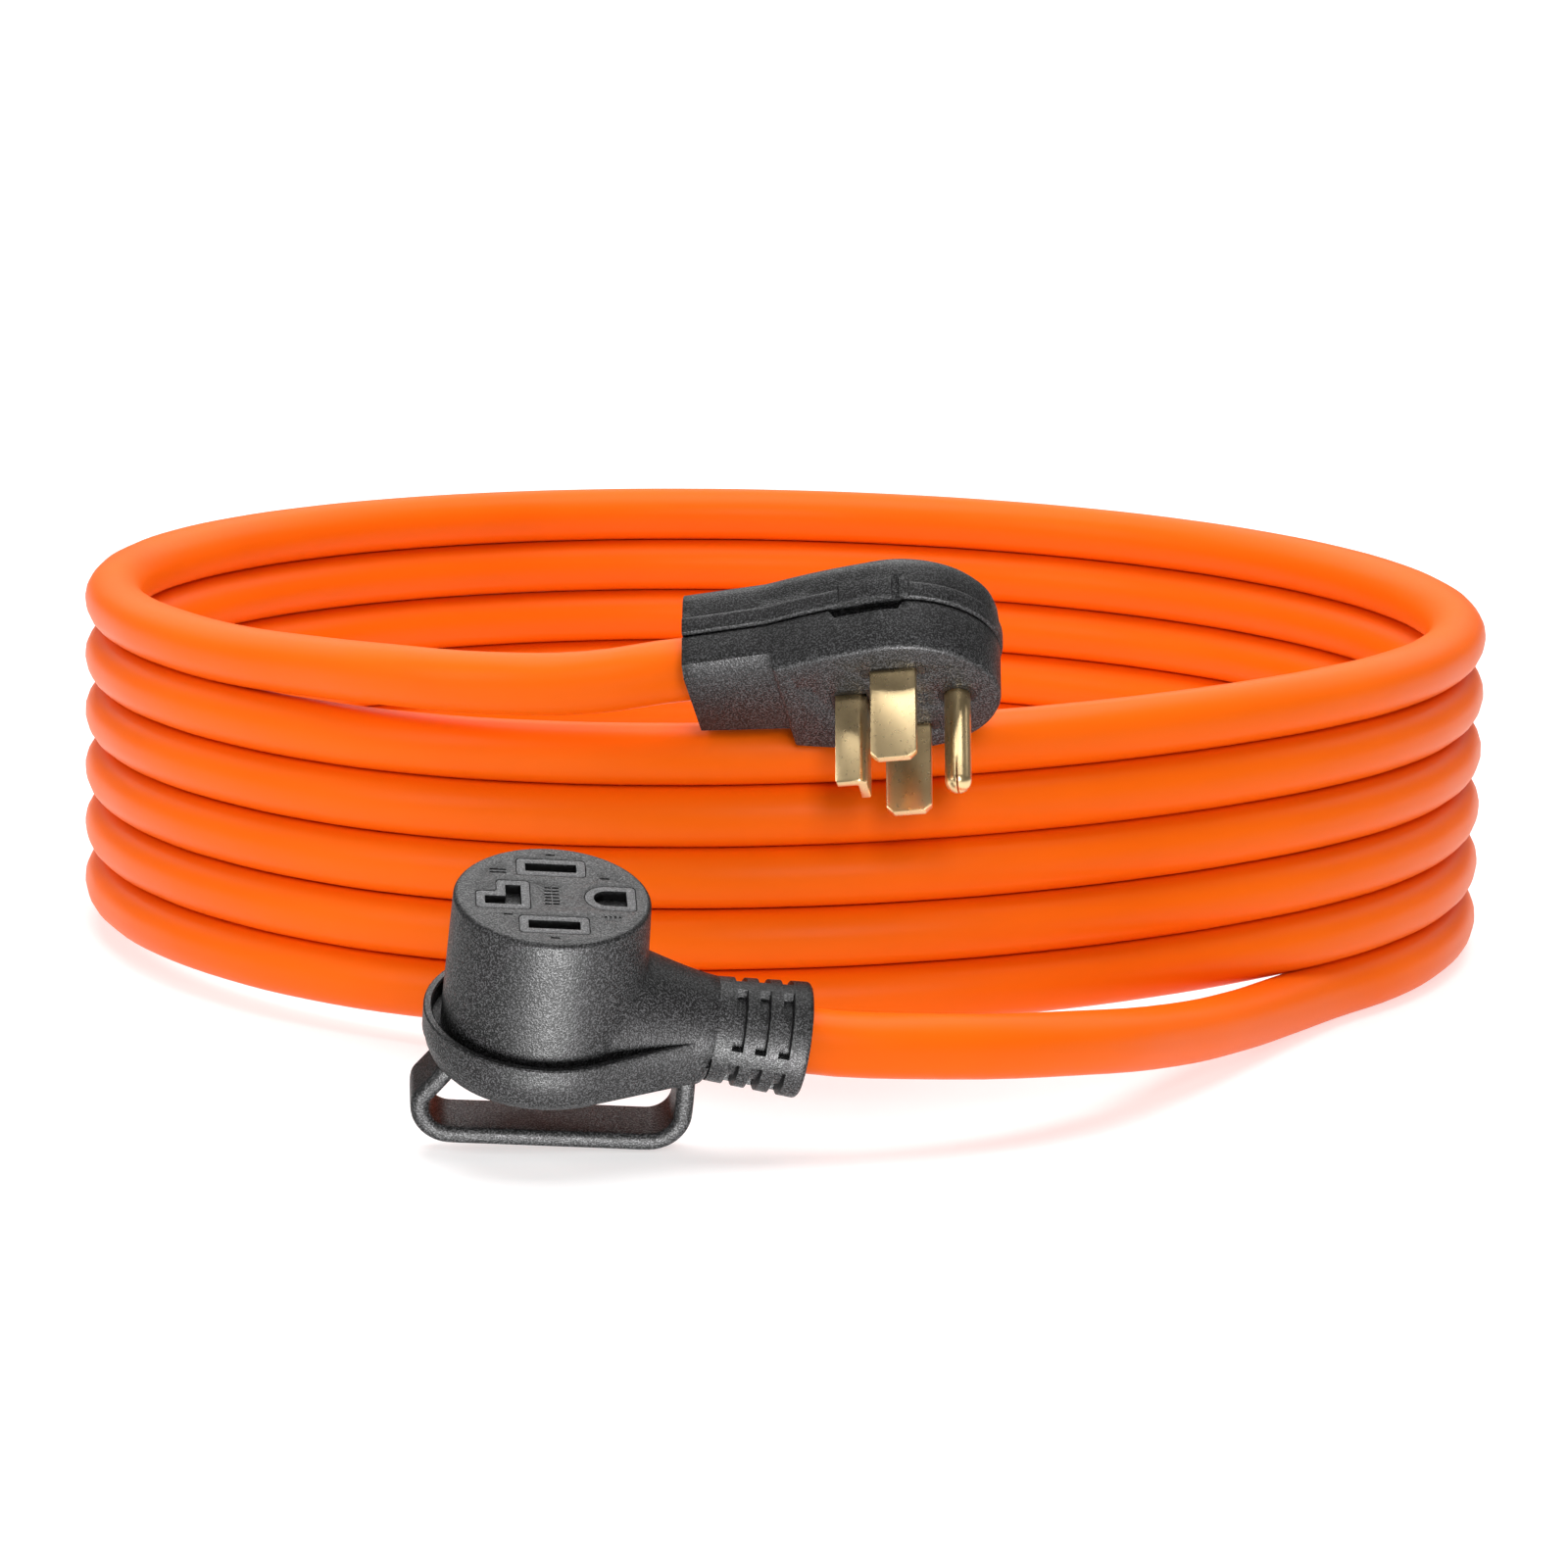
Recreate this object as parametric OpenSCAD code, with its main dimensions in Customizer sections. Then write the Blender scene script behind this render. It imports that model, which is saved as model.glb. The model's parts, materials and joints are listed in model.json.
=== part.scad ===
// Shore power cord: a coiled heavy orange cable with a right-angle four-blade plug at its upper
// end and a right-angle four-slot connector with a carrying grip at its lower end.
// Frame: +Z up, the origin on the floor at the coil's axis, the front of the coil toward -Y.

/* [Cable] */
// Outside diameter of the cable
cable_d = 17; // [15:0.5:18]
// Radius of the coil to the middle of the cable
coil_radius = 202; // [200:1:204]
// Number of turns stacked in the coil
turns = 6; // [5:1:6]

/* [Blade pattern] */
// Distance between the middles of the two hot blades
hot_spacing = 28.6; // [28:0.1:29]
// Distance of the neutral blade from the middle of the pattern
neutral_offset = 12.8; // [12:0.1:13.2]
// Distance of the ground pin from the middle of the pattern
ground_offset = 15; // [14.8:0.1:15.6]
// Thickness of a flat blade
blade_thick = 2.4; // [2:0.1:2.6]
// Width of a hot blade
blade_w = 12.2; // [11:0.1:12.4]
// Length of a blade beyond the plug's face
blade_len = 26.5; // [24:0.5:28]
// Diameter of the ground pin
ground_d = 7; // [6.6:0.1:7.2]
// Length of the ground pin beyond the plug's face
ground_len = 29.5; // [27:0.5:31]

/* [Plug] */
// Radius of the plug's round end
plug_r = 26.5; // [26:0.5:28]
// Distance from the blade pattern's middle to the end of the plug's neck
plug_neck_x = 56; // [54:1:60]
// Half of the neck's width at its end
plug_neck_half = 17; // [16:0.5:18]
// Thickness of the plug from its face to its back
plug_thick = 30; // [29:0.5:32]

/* [Connector] */
// Radius of the connector's round nose
nose_r = 25; // [24.8:0.1:25.6]
// Height of the nose from the flange plane to the face
nose_h = 34; // [33:0.5:36]
// Radius of the flange
flange_r = 30.5; // [30:0.5:32]
// Distance from the blade pattern's middle to the end of the flange
flange_tip_x = 43; // [42:0.5:44]
// Depth of the flange's straight wall below the flange plane
flange_wall = 11; // [10:0.5:12]
// Length of the strain relief
boot_len = 24; // [22:1:30]
// Width of the carrying grip
grip_w = 16; // [14:0.5:18]
// Depth of the carrying grip below the flange plane
grip_drop = 35; // [34:0.5:36]

/* [Hidden] */

$fn = 64;
black = [0.16, 0.16, 0.17];
grey = [0.34, 0.34, 0.35];
brass = [0.80, 0.62, 0.30];
orange = [1.0, 0.43, 0.05];

// Where the plug lies: face centre, and turns about X, Y and Z
plug_at = [31, -232, 107];
plug_turn = [-40, -7, -7];
// Where the connector stands: face centre, and turns about X, Y and Z
connector_at = [-57, -320, 70.1];
connector_turn = [18.5, 2.5, 5.5];

// Routes of the cable's two free stretches, chosen by hand, from the fitting to the coil
plug_tail_route = [
    [-24.4, -215.5, 111.6], [-53, -208, 106], [-80, -198, 103.7], [-107, -180, 102.4],
    [-131, -156, 100.5], [-154.7, -129.8, 93.5]
];
connector_tail_route = [
    [6.6, -301.4, 30.1], [42, -292, 27], [78, -265, 22.5], [106, -222, 15.5],
    [126, -183, 11], [141, -154, 9.2], [154.7, -129.8, 8.5]
];

wall = 2.6;
gap = 0.3;
slot_w = 3.9;
boss_rim = 2.2;
neutral_arm_x = neutral_offset - 2.9;
ground_slot_x = ground_offset - 1;
ground_slot_w = 7.4;
ground_slot_l = 8.4;
hot_y = hot_spacing / 2;
carrier_r = 21.5;
plug_split = plug_thick / 2;
neck_step = 4;
boot_x0 = flange_tip_x;
boot_x1 = flange_tip_x + boot_len;
boot_r0 = 13.3;
neck_r = 21;
under_neck_r = 12.7;
neck_bend_x = 18;
neck_dip = 6;
boot_r1 = 15;
lead_r = 2.6;
inlay_depth = 14;

// ---------- helpers ----------

// Angle on a circle of radius r where the tangent line through (x, h) touches it
function tangent_angle(r, x, h) = atan2(h, x) + acos(r / norm([x, h]));

// Round end of radius r that narrows along straight sides to a half width h at x. The sides
// touch a slightly smaller circle, so that they cross the round end cleanly.
module keyhole(r, x, h) {
    inner = r - 0.15;
    a = tangent_angle(inner, x, h);
    circle(r = r, $fn = 96);
    polygon([[inner * cos(a), inner * sin(a)], [x, h], [x, -h], [inner * cos(a), -inner * sin(a)]]);
}

// Rectangle with round corners, centred
module rounded_rect(size, r) {
    square([size[0] - 2 * r, size[1]], center = true);
    square([size[0], size[1] - 2 * r], center = true);
    for (sx = [-1, 1], sy = [-1, 1])
        translate([sx * (size[0] / 2 - r), sy * (size[1] / 2 - r)]) circle(r = r, $fn = 24);
}

function unit(v) = v / norm(v);
function heading(p, i) = unit(p[min(i + 1, len(p) - 1)] - p[max(i - 1, 0)]);
function ring(p, i, r, n, across) =
    let (t = heading(p, i), side = unit(cross(t, across)), up = cross(side, t))
    [for (k = [0 : n - 1]) p[i] + r * (cos(360 * k / n) * side + sin(360 * k / n) * up)];

// Tube of radius r swept along a route, as rings square to the route, closed at both ends.
// No stretch of the route may run along the vector across.
module swept_tube(p, r, n = 12, across = [0, 0, 1]) {
    rings = len(p);
    points = [for (i = [0 : rings - 1]) each ring(p, i, r, n, across)];
    sides = [for (i = [0 : rings - 2], k = [0 : n - 1])
        let (a = i * n + k, b = i * n + (k + 1) % n)
        each [[a, a + n, b + n], [a, b + n, b]]];
    first = [for (k = [0 : n - 1]) k];
    last = [for (k = [0 : n - 1]) (rings - 1) * n + n - 1 - k];
    polyhedron(points = points, faces = concat([first], sides, [last]));
}

// Lead wire through a list of points
module lead(points) swept_tube(points, lead_r, 10, [0, 1, 0]);

module in_plug() translate(plug_at) rotate(plug_turn) rotate([0, 180, 0]) children();
module in_connector() translate(connector_at) rotate(connector_turn) children();

// Places a child on the cord's axis in the connector, which dips a little past the nose
module along_neck() translate([neck_bend_x, 0, -nose_h]) rotate([0, neck_dip, 0])
    translate([-neck_bend_x, 0, 0]) children();

// Places a child at the middle of each hot blade
module at_hots() for (s = [-1, 1]) translate([0, s * hot_y]) children();

// L outline of the neutral: one arm across the pattern and one pointing outward
module neutral_outline(t, across, outward) {
    translate([-t / 2, -across / 2]) square([t, across]);
    translate([-outward, -across / 2]) square([outward, t]);
}

// U outline of the ground slot: round toward the middle of the pattern, flat outward
module ground_outline(d, length) {
    circle(d = d, $fn = 32);
    translate([0, -d / 2]) square([length - d / 2, d]);
}

// ---------- cable ----------

// Stacked turns in section, joined down the middle by a band that also gives the coil flat ends
module turn_profile(from, to) {
    for (i = [from : to - 1]) translate([coil_radius, (i + 0.5) * cable_d]) circle(d = cable_d, $fn = 48);
    translate([coil_radius - cable_d / 4, from * cable_d]) square([cable_d / 2, (to - from) * cable_d]);
}

// All turns but the top one, which leaves room for the plug at the front and is a node of its own
module cable_coil() color(orange) rotate_extrude($fn = 128) turn_profile(0, turns - 1);

module cable_top_turn() color(orange)
    rotate([0, 0, -55]) rotate_extrude(angle = 275, $fn = 128) turn_profile(turns - 1, turns);

module cable_plug_tail() color(orange) swept_tube(plug_tail_route, cable_d / 2);

module cable_connector_tail() color(orange) swept_tube(connector_tail_route, cable_d / 2);

// ---------- plug, in its own frame: face at z 0, blades toward +Z, cord toward +X ----------

// Windows in the plug's face for the carrier's blade seats
module plug_windows(extra) {
    at_hots() rounded_rect([blade_w + 5 + extra, blade_thick + 1.6 + extra], 1);
    translate([neutral_offset, 0]) rounded_rect([11 + extra, 13 + extra], 1);
    translate([-ground_offset, 0]) circle(d = ground_d + 3 + extra, $fn = 48);
}

module plug_base_shell() color(black) in_plug() difference() {
    union() {
        translate([0, 0, -plug_split]) linear_extrude(plug_split - neck_step)
            keyhole(plug_r, plug_neck_x, plug_neck_half);
        translate([0, 0, -neck_step]) linear_extrude(neck_step) intersection() {
            keyhole(plug_r, plug_neck_x, plug_neck_half);
            translate([-plug_r, -plug_r]) square([plug_r + 31.5, 2 * plug_r]);
        }
    }
    translate([0, 0, -plug_split - 1]) linear_extrude(plug_split - neck_step - 1)
        keyhole(plug_r - wall, plug_neck_x - wall, plug_neck_half - wall);
    translate([0, 0, -plug_split]) linear_extrude(plug_split + 1) plug_windows(0.1);
    translate([plug_neck_x - wall - 1, 0, -plug_split]) rotate([0, 90, 0])
        cylinder(h = wall + 2, d = cable_d + 2 * wall, $fn = 48);
}

module plug_cover_shell() color(black) in_plug() difference() {
    union() {
        translate([0, 0, -plug_thick + 1.5]) linear_extrude(plug_split - 1.5 - gap)
            keyhole(plug_r + 0.8, plug_neck_x, plug_neck_half + 0.8);
        translate([0, 0, -plug_thick]) linear_extrude(2)
            keyhole(plug_r - 1.5, plug_neck_x, plug_neck_half - 1.5);
    }
    translate([0, 0, -plug_thick + 1.5 + wall]) linear_extrude(plug_thick)
        keyhole(plug_r - wall, plug_neck_x - wall, plug_neck_half - wall);
    translate([plug_neck_x - wall - 1, 0, -plug_split]) rotate([0, 90, 0])
        cylinder(h = wall + 2, d = cable_d + 2 * wall, $fn = 48);
}

module plug_blade_carrier() color(grey) in_plug() difference() {
    union() {
        translate([0, 0, -neck_step - 7]) cylinder(h = 6.9, r = carrier_r);
        translate([0, 0, -neck_step - 1]) linear_extrude(neck_step + 1) plug_windows(-0.1);
    }
    translate([0, 0, -neck_step - 8]) linear_extrude(neck_step + 10) {
        at_hots() square([blade_w + 0.1, blade_thick + 0.1], center = true);
        translate([neutral_arm_x, 0]) mirror([1, 0]) neutral_outline(blade_thick + 0.1, 9.6, 7.1);
        translate([-ground_offset, 0]) circle(d = ground_d + 0.1, $fn = 48);
    }
}

// Flat blade from inside the carrier to its chamfered tip, in the plane y 0
module flat_blade() {
    tip = 1.8;
    rotate([90, 0, 0]) translate([0, 0, -blade_thick / 2]) linear_extrude(blade_thick) polygon([
        [-blade_w / 2, -14], [blade_w / 2, -14], [blade_w / 2, blade_len - tip],
        [blade_w / 2 - tip, blade_len], [-blade_w / 2 + tip, blade_len], [-blade_w / 2, blade_len - tip]
    ]);
}

module plug_hot_blade_x() color(brass) in_plug() translate([0, -hot_y, 0]) flat_blade();

module plug_hot_blade_y() color(brass) in_plug() translate([0, hot_y, 0]) flat_blade();

module plug_neutral_blade() color(brass) in_plug() translate([neutral_arm_x, 0, -14])
    linear_extrude(blade_len + 14) mirror([1, 0]) neutral_outline(blade_thick, 9.5, 7);

module plug_ground_pin() color(brass) in_plug() translate([-ground_offset, 0, 0]) difference() {
    union() {
        translate([0, 0, -14]) cylinder(h = ground_len + 14 - ground_d / 2, d = ground_d, $fn = 48);
        translate([0, 0, ground_len - ground_d / 2]) sphere(d = ground_d, $fn = 48);
    }
    translate([-0.3, -ground_d, ground_len - 9]) cube([0.6, 2 * ground_d, 10]);
}

// Collar that the neck closes on, round the cable's jacket
module cord_collar(x0, length, z) translate([x0, 0, z]) rotate([0, 90, 0]) difference() {
    cylinder(h = length, d = cable_d + 2 * wall - 0.2, $fn = 48);
    translate([0, 0, -1]) cylinder(h = length + 2, d = cable_d + 0.1, $fn = 48);
}

module jacket_end(x0, x1, z) translate([x0, 0, z]) rotate([0, 90, 0]) cylinder(h = x1 - x0, d = cable_d, $fn = 48);

module plug_cord_collar() color(grey) in_plug() cord_collar(plug_neck_x - 12, 12, -plug_split);

module plug_jacket_end() color(orange) in_plug() jacket_end(36, plug_neck_x, -plug_split);

// Lead from a blade's inner end to the jacket, offset (y, z) inside the jacket
module plug_lead(from, dy, dz) in_plug()
    lead([[from[0], from[1], -14], [from[0], from[1], -19], [22, dy, -plug_split + dz], [36, dy, -plug_split + dz]]);

module plug_lead_black() color([0.08, 0.08, 0.08]) plug_lead([3, -hot_y], -3.2, 3.2);
module plug_lead_red() color([0.7, 0.08, 0.06]) plug_lead([3, hot_y], 3.2, 3.2);
module plug_lead_white() color([0.9, 0.9, 0.88]) plug_lead([neutral_offset + 4, -3], -3.2, -3.2);
module plug_lead_green() color([0.1, 0.45, 0.15]) plug_lead([-ground_offset, 0], 3.2, -3.2);

// ---------- connector, in its own frame: face at z 0, cord toward +X ----------

// Slots of the connector's face
module connector_slots() {
    at_hots() square([13, slot_w], center = true);
    translate([-neutral_arm_x, 0]) neutral_outline(slot_w, 9.6, 7.2);
    translate([ground_slot_x, 0]) ground_outline(ground_slot_w, ground_slot_l);
}

// Windows in the front shell, filled flush by the insert's rims
module connector_windows(extra) {
    at_hots() rounded_rect([13 + 2 * boss_rim + extra, slot_w + 2 * boss_rim + extra], 1.2);
    translate([-neutral_arm_x, 0])
        rounded_rect([slot_w + 2 * boss_rim + extra, 9.6 + 2 * boss_rim + extra], 1.2);
    translate([-neutral_arm_x + slot_w / 2 - 4.6, slot_w / 2 - 4.8])
        rounded_rect([9.2 + 2 * boss_rim + extra, slot_w + 2 * boss_rim + extra], 1.2);
    translate([ground_slot_x, 0]) circle(d = ground_slot_w + 2 * boss_rim + extra, $fn = 64);
    translate([ground_slot_x + 1.6, 0])
        rounded_rect([6 + 2 * boss_rim + extra, ground_slot_w + 2 * boss_rim + extra], 1.2);
}

// Neck round the cord, from radius r inside the nose to the boot
module neck(r) along_neck() translate([14, 0, 0]) rotate([0, 90, 0])
    cylinder(h = flange_tip_x - 12.5, r1 = r, r2 = boot_r0, $fn = 64);

// Round channel for the cord's collar
module collar_channel() along_neck() translate([10, 0, 0]) rotate([0, 90, 0])
    cylinder(h = 40, r = cable_d / 2 + wall, $fn = 48);

module connector_front_shell() color(black) in_connector() difference() {
    union() {
        translate([0, 0, -nose_h]) cylinder(h = nose_h - 1.2, r = nose_r, $fn = 96);
        translate([0, 0, -1.2]) cylinder(h = 1.2, r1 = nose_r, r2 = nose_r - 1.2, $fn = 96);
        translate([0, 0, -nose_h]) linear_extrude(2.5) keyhole(flange_r, flange_tip_x, boot_r0);
        intersection() {
            neck(neck_r);
            translate([0, -30, -nose_h]) cube([flange_tip_x, 60, nose_h - 4]);
        }
    }
    translate([0, 0, -nose_h - 1]) cylinder(h = nose_h + 1 - wall, r = nose_r - wall, $fn = 96);
    collar_channel();
    translate([0, 0, -wall - 1]) linear_extrude(wall + 2) connector_windows(0.1);
}

module connector_rear_shell() color(black) in_connector() difference() {
    union() {
        translate([0, 0, -nose_h - flange_wall]) linear_extrude(flange_wall - gap)
            keyhole(flange_r, flange_tip_x, boot_r0);
        translate([0, 0, -nose_h - flange_wall - 3]) linear_extrude(3.5)
            keyhole(flange_r - 6, flange_tip_x - 10, boot_r0 - 4);
        intersection() {
            neck(under_neck_r);
            translate([0, -30, -nose_h - 43]) cube([flange_tip_x - 0.5, 60, 40]);
        }
    }
    translate([0, 0, -nose_h - flange_wall + wall]) linear_extrude(flange_wall + 1)
        keyhole(flange_r - wall, flange_tip_x - wall, boot_r0 - wall);
    collar_channel();
}

// Ringed boot: a cone round the cable with three grooves
module connector_strain_relief() color(black) in_connector() difference() {
    along_neck() translate([boot_x0 - 2, 0, 0]) rotate([0, 90, 0]) difference() {
        cylinder(h = boot_len + 2, r1 = boot_r0, r2 = boot_r1, $fn = 64);
        translate([0, 0, -1]) cylinder(h = boot_len + 4, d = cable_d + 0.1, $fn = 48);
        for (i = [0 : 2]) translate([0, 0, 6.4 + 5.9 * i]) difference() {
            cylinder(h = 2.6, r = boot_r1 + 2, $fn = 64);
            translate([0, 0, -1]) cylinder(h = 5, r = boot_r0 - 2.8, $fn = 64);
        }
    }
    translate([0, -30, -nose_h - 30]) cube([flange_tip_x, 60, 60]);
}

// Points of a circular arc in the grip's side view
function arc(cx, cz, r, a0, a1, steps = 8) =
    [for (i = [0 : steps]) let (a = a0 + (a1 - a0) * i / steps) [cx + r * cos(a), cz + r * sin(a)]];

// Strap that leaves the rear shell, runs under it and comes back up at the neck
module connector_grip_handle() color(black) in_connector() {
    strap = 5;
    top = -nose_h - flange_wall;
    low = -nose_h - grip_drop;
    outer = concat(arc(-22, low + 11, 11, 180, 270), arc(29, low + 11, 11, 270, 360), [[40, top], [-30, top]]);
    inner = concat(arc(-22, low + 11, 11 - strap, 180, 270), arc(29, low + 11, 11 - strap, 270, 360),
        [[40 - strap, top + 1], [-30 + strap, top + 1]]);
    difference() {
        rotate([90, 0, 0]) translate([0, 0, -grip_w / 2]) linear_extrude(grip_w) difference() {
            polygon(outer);
            polygon(inner);
        }
        neck(under_neck_r);
    }
}

module connector_face_insert() color(grey) in_connector() difference() {
    union() {
        translate([0, 0, -wall - inlay_depth]) cylinder(h = inlay_depth - 0.1, r = carrier_r);
        translate([0, 0, -wall - 1]) linear_extrude(wall + 1) connector_windows(-0.1);
    }
    translate([0, 0, -wall - inlay_depth - 1]) linear_extrude(wall + inlay_depth + 2) connector_slots();
    translate([0, 0, -wall - inlay_depth - 1]) linear_extrude(inlay_depth - 1) {
        at_hots() square([14, 6.4], center = true);
        translate([-neutral_offset, 0]) square([11, 11], center = true);
        translate([ground_offset, 0]) circle(d = 11, $fn = 48);
    }
}

module connector_contact_cover() color(grey) in_connector() translate([0, 0, -wall - inlay_depth - 4.2])
    cylinder(h = 4, r = carrier_r);

// Spring clip: two leaves that grip a blade, joined by a bridge at the back
module blade_clip(width, opening) {
    leaf = 0.8;
    back = -wall - inlay_depth;
    for (s = [-1, 1]) translate([-width / 2, s * (opening / 2 + leaf / 2) - leaf / 2, back])
        cube([width, leaf, 10]);
    translate([-width / 2, -opening / 2 - leaf, back]) cube([width, opening + 2 * leaf, leaf]);
}

module connector_contact_hot_x() color(brass) in_connector() translate([0, -hot_y, 0]) blade_clip(12, blade_thick);
module connector_contact_hot_y() color(brass) in_connector() translate([0, hot_y, 0]) blade_clip(12, blade_thick);
module connector_contact_neutral() color(brass) in_connector() translate([-neutral_arm_x, 0, 0])
    rotate([0, 0, 90]) blade_clip(9, blade_thick);
module connector_contact_ground() color(brass) in_connector() translate([ground_offset, 0, -wall - inlay_depth])
    difference() {
        cylinder(h = 10, d = 10, $fn = 48);
        translate([0, 0, 0.8]) cylinder(h = 10, d = ground_d + 1.2, $fn = 48);
        translate([-0.6, 0, 2]) cube([1.2, 10, 10]);
    }

module connector_cord_collar() color(grey) in_connector() along_neck() cord_collar(26, 15, 0);

module connector_jacket_end() color(orange) in_connector() along_neck() jacket_end(26, boot_x1, 0);

module connector_lead(from, dy, dz) in_connector()
    lead([[from[0], from[1], -21.2], [from[0], from[1], -25], [14, dy, -nose_h + dz], [26, dy, -nose_h + dz]]);

module connector_lead_black() color([0.08, 0.08, 0.08]) connector_lead([0, -hot_y], -3.2, 3.2);
module connector_lead_red() color([0.7, 0.08, 0.06]) connector_lead([0, hot_y], 3.2, 3.2);
module connector_lead_white() color([0.9, 0.9, 0.88]) connector_lead([-neutral_offset, 0], -3.2, -3.2);
module connector_lead_green() color([0.1, 0.45, 0.15]) connector_lead([ground_offset - 5, 7], 3.2, -3.2);

// ---------- nodes ----------

cable_coil();
cable_top_turn();
cable_plug_tail();
cable_connector_tail();
plug_base_shell();
plug_cover_shell();
plug_blade_carrier();
plug_hot_blade_x();
plug_hot_blade_y();
plug_neutral_blade();
plug_ground_pin();
plug_cord_collar();
plug_jacket_end();
plug_lead_black();
plug_lead_red();
plug_lead_white();
plug_lead_green();
connector_front_shell();
connector_rear_shell();
connector_strain_relief();
connector_grip_handle();
connector_face_insert();
connector_contact_cover();
connector_contact_hot_x();
connector_contact_hot_y();
connector_contact_neutral();
connector_contact_ground();
connector_cord_collar();
connector_jacket_end();
connector_lead_black();
connector_lead_red();
connector_lead_white();
connector_lead_green();
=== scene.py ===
"""Shore power cord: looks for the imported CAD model, in metres, in the CAD's own frame."""
import json
import math

import bmesh
import bpy
from mathutils import Matrix, Vector


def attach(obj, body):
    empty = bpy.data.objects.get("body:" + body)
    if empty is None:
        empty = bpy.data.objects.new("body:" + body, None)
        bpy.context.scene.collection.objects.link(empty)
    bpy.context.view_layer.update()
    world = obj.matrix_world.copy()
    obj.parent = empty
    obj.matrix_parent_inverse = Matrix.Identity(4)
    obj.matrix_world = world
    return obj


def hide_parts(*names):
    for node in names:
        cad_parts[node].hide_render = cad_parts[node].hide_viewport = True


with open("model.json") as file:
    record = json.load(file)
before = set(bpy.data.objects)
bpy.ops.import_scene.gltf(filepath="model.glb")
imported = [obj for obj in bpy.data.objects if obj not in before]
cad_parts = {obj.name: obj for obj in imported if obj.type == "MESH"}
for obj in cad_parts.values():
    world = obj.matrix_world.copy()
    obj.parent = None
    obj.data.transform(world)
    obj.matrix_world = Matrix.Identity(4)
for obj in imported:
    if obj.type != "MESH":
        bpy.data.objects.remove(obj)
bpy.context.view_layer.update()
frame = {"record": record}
MM = 0.001

# ---------- driving sizes, repeated from the part's source, in metres ----------

CABLE_D = 17 * MM
COIL_R = 202 * MM
PLUG_AT = (31 * MM, -232 * MM, 107 * MM)
PLUG_TURN = (-40, -7, -7)
CONNECTOR_AT = (-57 * MM, -320 * MM, 70.1 * MM)
CONNECTOR_TURN = (18.5, 2.5, 5.5)

# ---------- sizes in each fitting's own frame, in millimetres ----------
# A fitting's face is at z = 0, and its cable leaves along +X.

HOT_Y = 14.3
HOT_HALF = 6.1
BLADE_HALF_THICK = 1.2
BLADE_ROOT = -14
BLADE_END = 26.5
PIN_X = -15
PIN_R = 3.5
PIN_ROUND_Z = 26
PLUG_R = 26.5
PLUG_NECK_HALF = 17
PLUG_NECK_X = 56.0
FACE_STEP_X = 31.5
NOSE_R = 25.9
NOSE_BOTTOM = -38
NECK_Z = -34
NECK_BEND_X = 18
NECK_DIP = math.radians(6)
BOOT_X = 43
BOOT_R = 13.4
BOOT_ROWS = (48.7, 54.6, 60.6)
CUP_R = 30.5
CUP_TIP_HALF = 13.5
MARK_DEPTH = 0.25

# ---------- routes of the cable's free ends, in millimetres --------------------

PLUG_TAIL = [
    (-24.4, -215.5, 111.6), (-53, -208, 106), (-80, -198, 103.7), (-107, -180, 102.4),
    (-131, -156, 100.5), (-154.7, -129.8, 93.5),
]
CONNECTOR_TAIL = [
    (6.6, -301.4, 30.1), (42, -292, 27), (78, -265, 22.5), (106, -222, 15.5),
    (126, -183, 11), (141, -154, 9.2), (154.7, -129.8, 8.5),
]


def turned(at, turn):
    """Place matrix of a fitting: turns in degrees about X, then Y, then Z, then the move."""
    x, y, z = (math.radians(a) for a in turn)
    spin = Matrix.Rotation(z, 4, "Z") @ Matrix.Rotation(y, 4, "Y") @ Matrix.Rotation(x, 4, "X")
    return Matrix.Translation(at) @ spin


IN_PLUG = turned(PLUG_AT, PLUG_TURN) @ Matrix.Rotation(math.pi, 4, "Y")
IN_CONNECTOR = turned(CONNECTOR_AT, CONNECTOR_TURN)


# ---------- camera ----------

def make_camera():
    data = bpy.data.cameras.new("camera")
    data.sensor_width = 36
    data.lens = 138.3
    camera = bpy.data.objects.new("camera", data)
    bpy.context.scene.collection.objects.link(camera)
    camera.location = (0.0005, -1.8024, 0.3706)
    tilt = Matrix.Rotation(math.radians(90 - 10.35), 4, "X")
    roll = Matrix.Rotation(math.radians(1.13), 4, "Z")
    camera.rotation_euler = (tilt @ roll).to_euler()
    bpy.context.scene.camera = camera
    bpy.context.scene.view_settings.view_transform = "Standard"


# ---------- mesh helpers ----------

def link(name, mesh):
    piece = bpy.data.objects.new(name, mesh)
    bpy.context.scene.collection.objects.link(piece)
    return piece


def from_bmesh(name, bm):
    bmesh.ops.recalc_face_normals(bm, faces=bm.faces)
    mesh = bpy.data.meshes.new(name)
    bm.to_mesh(mesh)
    bm.free()
    return link(name, mesh)


def loft(name, rings, closed_ends=True):
    """Closed skin over rings that all have the same number of points, in millimetres."""
    bm = bmesh.new()
    rows = [[bm.verts.new(Vector(p) * MM) for p in ring] for ring in rings]
    count = len(rows[0])
    for low, high in zip(rows, rows[1:]):
        for k in range(count):
            bm.faces.new((low[k], low[(k + 1) % count], high[(k + 1) % count], high[k]))
    if closed_ends:
        bm.faces.new(rows[0])
        bm.faces.new(rows[-1])
    return from_bmesh(name, bm)


def prism(name, outline, z0, z1):
    return loft(name, [[(x, y, z0) for x, y in outline], [(x, y, z1) for x, y in outline]])


def arc(cx, cy, r, a0, a1, steps=8):
    """Points of a circular arc, angles in degrees, both ends included."""
    angles = [math.radians(a0 + (a1 - a0) * i / steps) for i in range(steps + 1)]
    return [(cx + r * math.cos(a), cy + r * math.sin(a)) for a in angles]


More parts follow.
